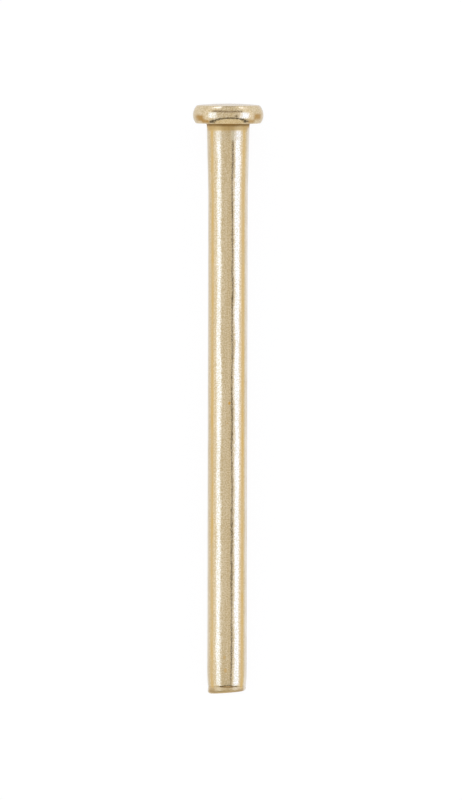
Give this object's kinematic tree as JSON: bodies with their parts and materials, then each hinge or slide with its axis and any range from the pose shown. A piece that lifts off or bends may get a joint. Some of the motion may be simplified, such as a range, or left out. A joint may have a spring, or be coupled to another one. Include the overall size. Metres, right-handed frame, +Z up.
{
  "type": "hinge pin",
  "caption": "Headed hinge pin: a round shank with a slightly swollen neck, a disc head with bulged side and domed top, and a sheared end.",
  "frame": {"origin": "middle of the pin's length and width, on the surface that it lies on", "axes": "+Z up from the surface, the pin's axis along Y with the head towards +Y and the sheared end towards -Y; the axis drops 1.57 degrees towards the end, because the head is wider than the shank; X across"},
  "size_m": [0.0108, 0.0902, 0.0108],
  "materials": {
    "brass_plating": "pale bright brass plating over drawn wire, half gloss, with fine lengthwise drawing lines"
  },
  "bodies": {
    "root": {"hinge_pin": "brass_plating"}
  },
  "joints": []
}
